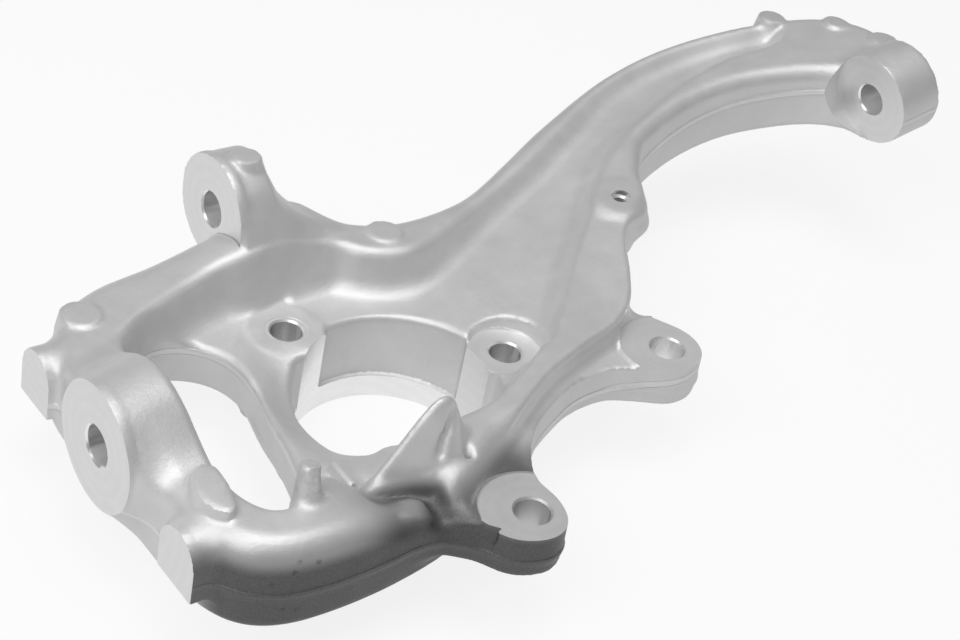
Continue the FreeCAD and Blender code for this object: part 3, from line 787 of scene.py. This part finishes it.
class Tree:
    """Node tree of one material with its Principled BSDF; places are in millimetres of the part's frame."""

    def __init__(self, name):
        self.material = bpy.data.materials.new(name)
        self.material.use_nodes = True
        self.nodes = self.material.node_tree.nodes
        self.bsdf = self.nodes["Principled BSDF"]
        place = self.add("ShaderNodeTexCoord", {}, output="Object")
        self.place = self.add("ShaderNodeVectorMath", {0: place, "Scale": 1 / MM}, operation="SCALE")

    def add(self, kind, inputs, output=0, **settings):
        """Add a node: its inputs by number or name, its settings, and the output wanted."""
        node = self.nodes.new(kind)
        for name, value in settings.items():
            setattr(node, name, value)
        for name, value in inputs.items():
            self.put(node.inputs[name], value)
        return Shade(self, node.outputs[output])

    def put(self, socket, value):
        """Link a shader value to a socket, or set a plain one."""
        if isinstance(value, Shade):
            self.material.node_tree.links.new(value.socket, socket)
        else:
            socket.default_value = value

    def noise(self, per_mm, detail=2.0, roughness=0.5, distortion=0.0):
        """Noise with so many features to a millimetre."""
        return self.add("ShaderNodeTexNoise", {"Vector": self.place, "Scale": per_mm, "Detail": detail,
                                               "Roughness": roughness, "Distortion": distortion})

    def away(self, x, y, z):
        """Distance from a point; a coordinate of None leaves that direction out."""
        centre = [c or 0.0 for c in (x, y, z)]
        keep = [0.0 if c is None else 1.0 for c in (x, y, z)]
        flat = self.add("ShaderNodeVectorMath", {0: self.place, 1: keep}, operation="MULTIPLY")
        return self.add("ShaderNodeVectorMath", {0: flat, 1: centre}, output="Value", operation="DISTANCE")

    def facing(self, axis):
        """Square of the cosine between the surface's normal and an axis."""
        normal = self.add("ShaderNodeNewGeometry", {}, output="Normal")
        along = self.add("ShaderNodeVectorMath", {0: normal, 1: axis}, output="Value",
                         operation="DOT_PRODUCT")
        return along * along

    def split(self, vector):
        """The x, y and z of a vector."""
        parts = self.add("ShaderNodeSeparateXYZ", {0: vector})
        return tuple(Shade(self, socket) for socket in parts.socket.node.outputs)

    def tint(self, colour, value):
        """Colour times a shader value."""
        return self.add("ShaderNodeVectorMath", {0: colour, "Scale": value}, operation="SCALE")

    def finish(self, colour, rough, metallic, bumps):
        """Connect the surface; bumps are (height, distance in millimetres, strength)."""
        self.put(self.bsdf.inputs["Base Color"], colour)
        self.put(self.bsdf.inputs["Roughness"], rough)
        self.put(self.bsdf.inputs["Metallic"], metallic)
        normal = None
        for height, distance, strength in bumps:
            inputs = {"Height": height, "Distance": distance * MM, "Strength": strength}
            if normal:
                inputs["Normal"] = normal
            normal = self.add("ShaderNodeBump", inputs)
        self.put(self.bsdf.inputs["Normal"], normal)
        return self.material


def cast_material(finish):
    """Blasted sand-cast skin: fine grain, cloudy mottling, a few pits, dirt round the broken riser and
    painted shade that darkens the colour of the front wall below its roll."""
    tree = Tree("cast_aluminium")
    grain = tree.noise(1.6, 3.0, 0.65)
    skin = tree.noise(0.45, 3.0, 0.6)
    cloud = tree.noise(0.035, 4.0, 0.55, distortion=0.6)
    patches = tree.noise(0.11, 3.0, 0.5)
    pits = tree.noise(0.6, 2.0, 0.6).ramp(0.76, 0.80) * tree.noise(0.05, 1.0).ramp(0.55, 0.65)
    for place in MARKS:
        pits = pits.most(tree.away(*place).ramp(1.7, 0.5) * (grain.ramp(0.35, 0.6)))
    x, y, z = tree.split(tree.place)
    rise = z - PARTING_Z - NECK_SLOPE * (x - NECK_START_X).most(0.0)
    steep = tree.split(tree.add("ShaderNodeNewGeometry", {}, output="Normal"))[2]
    outside = tree.away(0, 0, None).ramp(56, 62) * (steep * steep).ramp(0.2, 0.08)
    belt = (rise.ramp(-BELT_DEPTH - 0.3, -BELT_DEPTH + 0.3) - rise.ramp(-0.3, 0.3)) * outside
    # painted shade: mask of the front wall below its roll, whose colour is darkened to stand in for shade, so
    # it stays dark from every side
    shade = y.ramp(-52, -70) * z.ramp(60, 46) * x.ramp(30, 5)
    riser = tree.away(*DIRT_AT).ramp(16, 6) * tree.noise(0.35, 3.0, 0.7).ramp(0.42, 0.62)
    mottle = 0.10 * (cloud - 0.5) * 2 + 0.05 * (patches - 0.5) * 2 + 0.10 * (grain - 0.5)
    tone = 1.0 + mottle + 0.10 * belt - 0.5 * pits - 0.10 * riser
    # painted shade put into the skin's colour on the front wall, broken up a little by the grain
    tone = tone * (1.0 - shade * (finish.painted_wall_shade + 0.2 * (grain - 0.5)))
    rough = finish.cast_rough + 0.14 * (patches - 0.5) + 0.10 * (grain - 0.5) + 0.15 * riser
    return tree.finish(tree.tint(tuple(finish.cast_colour), tone), rough, finish.cast_metallic,
                       [(grain, 0.11, 0.6), (skin, 0.25, 0.45), (1.0 - pits, 0.3, 0.5), (belt, 0.5, 0.6)])


def cut_material(finish):
    """Machined faces: fine rings about the nearest bore's axis, and a duller, greyer lower ear."""
    tree = Tree("machined_aluminium")
    upright = tree.away(*EARS[0][1], None)
    dull = upright.ramp(26, 22)
    for x, y in [EARS[1][1]] + [hub_bolt(i) for i in range(3)]:
        upright = upright.least(tree.away(x, y, None))
    level = tree.away(None, LOWER_Y, LOWER_Z).least(tree.away(None, TIE_Y, TIE_Z))
    level = level.least(tree.away(None, UPPER_Y, UPPER_Z))
    facing = tree.facing((0, 0, 1)).ramp(0.4, 0.6)
    flat = facing.most(tree.facing((1, 0, 0)).ramp(0.9, 0.95))
    radius = level + (upright - level) * facing
    wobble = tree.noise(0.25, 2.0)
    rings = (radius * 4.0 + wobble * 3.0).sine()
    broad = (radius * 1.1 + wobble * 6.0).sine()
    cloud = tree.noise(0.06, 3.0, 0.6)
    tone = 1.0 + 0.006 * rings + 0.012 * broad + 0.10 * (cloud - 0.5) - 0.25 * dull
    rough = finish.cut_rough + 0.02 * rings + 0.10 * (cloud - 0.5) + 0.15 * dull - 0.12 * (1.0 - flat)
    metallic = finish.bore_metallic + (finish.cut_metallic - finish.bore_metallic) * flat
    return tree.finish(tree.tint(tuple(finish.cut_colour), tone), rough, metallic,
                       [(rings, 0.004, 0.15), (tree.noise(1.2, 2.0), 0.05, 0.3)])


def floor_material(stage):
    """Pale floor; light that it scatters back on the part comes from a darker grey."""
    tree = Tree("floor")
    path = {name: tree.add("ShaderNodeLightPath", {}, output=name)
            for name in ("Is Camera Ray", "Is Glossy Ray", "Is Transmission Ray")}
    seen = path["Is Camera Ray"].most(path["Is Glossy Ray"]).most(path["Is Transmission Ray"])
    level = stage.floor_bounce + (stage.floor_level - stage.floor_bounce) * seen
    tree.put(tree.bsdf.inputs["Base Color"], tree.tint((1.0, 1.0, 1.0), level))
    tree.bsdf.inputs["Roughness"].default_value = 0.95
    tree.bsdf.inputs["Specular IOR Level"].default_value = 0.0
    glow = tree.add("ShaderNodeEmission", {"Color": (1.0, 1.0, 1.0, 1.0), "Strength": 1.0})
    scatter = Shade(tree, tree.bsdf.outputs[0])
    mixed = tree.add("ShaderNodeMixShader", {0: seen * stage.floor_glow, 1: scatter, 2: glow})
    tree.put(tree.nodes["Material Output"].inputs["Surface"], mixed)
    return tree.material


# floor and lamps, in metres
FLOOR_HALF, LAMP_SIZE = 6.0, 1.0
KEY_AT, SIDE_AT, LAMPS_AIM = (0.05, -0.05, 1.7), (-1.0, -0.15, 1.15), (0.1, 0, 0.05)

# camera: how it looks at the part, and where from
CAMERA_AT = (-432.3, -499.2, 548.7)
CAMERA_AZIMUTH, CAMERA_PITCH, CAMERA_ROLL = 43.3, 35.39, 12.08
CAMERA_LENS, CAMERA_SENSOR = 75.0, 36.0


class KNUCKLE_OT_stage(Operator):
    """Set up the floor, the lamps, the surrounding light and the camera"""
    bl_idname = "knuckle.stage"
    bl_label = "Floor, lamps and camera"

    def execute(self, context):
        stage = context.scene.knuckle_stage
        corners = FLOOR_HALF * np.array([(-1, -1, 0), (1, -1, 0), (1, 1, 0), (-1, 1, 0)])
        mesh = mesh_of("floor", corners, np.array([[0, 1, 2, 3]]))
        floor = bpy.data.objects.new("floor", mesh)
        context.scene.collection.objects.link(floor)
        mesh.materials.append(floor_material(stage))
        world = context.scene.world or bpy.data.worlds.new("World")
        context.scene.world = world
        world.use_nodes = True
        world.node_tree.nodes["Background"].inputs["Color"].default_value = (1, 1, 1, 1)
        world.node_tree.nodes["Background"].inputs["Strength"].default_value = stage.world_level
        for name, power, place in (("key", stage.key_power, KEY_AT), ("side", stage.side_power, SIDE_AT)):
            lamp = bpy.data.lights.new(name, "AREA")
            lamp.energy, lamp.size = power, LAMP_SIZE
            obj = bpy.data.objects.new(name, lamp)
            obj.location = place
            obj.rotation_euler = (Vector(LAMPS_AIM) - obj.location).to_track_quat("-Z", "Y").to_euler()
            context.scene.collection.objects.link(obj)
        camera = bpy.data.cameras.new("camera")
        camera.lens, camera.sensor_width, camera.sensor_fit = CAMERA_LENS, CAMERA_SENSOR, "HORIZONTAL"
        view = bpy.data.objects.new("camera", camera)
        view.matrix_world = (Matrix.Translation(Vector(CAMERA_AT) * MM)
                             @ Matrix.Rotation(math.radians(-CAMERA_AZIMUTH), 4, "Z")
                             @ Matrix.Rotation(math.radians(90 - CAMERA_PITCH), 4, "X")
                             @ Matrix.Rotation(math.radians(CAMERA_ROLL), 4, "Z"))
        context.scene.collection.objects.link(view)
        context.scene.camera = view
        context.scene.view_settings.view_transform = "Standard"
        return {"FINISHED"}


class KNUCKLE_PT_tools(Panel):
    """Buttons and settings of the knuckle"""
    bl_label = "Steering knuckle"
    bl_idname = "KNUCKLE_PT_tools"
    bl_space_type = "VIEW_3D"
    bl_region_type = "UI"
    bl_category = "Knuckle"

    def draw(self, context):
        for group in (context.scene.knuckle_shape, context.scene.knuckle_finish, context.scene.knuckle_stage):
            box = self.layout.box()
            for name in group.__annotations__:
                box.prop(group, name)
        for operator in (KNUCKLE_OT_casting, KNUCKLE_OT_stage):
            self.layout.operator(operator.bl_idname)


CLASSES = (KnuckleShape, KnuckleFinish, KnuckleStage, KNUCKLE_OT_casting, KNUCKLE_OT_stage, KNUCKLE_PT_tools)


def register():
    for cls in CLASSES:
        bpy.utils.register_class(cls)
    bpy.types.Scene.knuckle_shape = PointerProperty(type=KnuckleShape)
    bpy.types.Scene.knuckle_finish = PointerProperty(type=KnuckleFinish)
    bpy.types.Scene.knuckle_stage = PointerProperty(type=KnuckleStage)


def unregister():
    del bpy.types.Scene.knuckle_shape, bpy.types.Scene.knuckle_finish, bpy.types.Scene.knuckle_stage
    for cls in reversed(CLASSES):
        bpy.utils.unregister_class(cls)


def main():
    register()
    bpy.ops.knuckle.casting()
    bpy.ops.knuckle.stage()


if __name__ == "__main__":
    main()
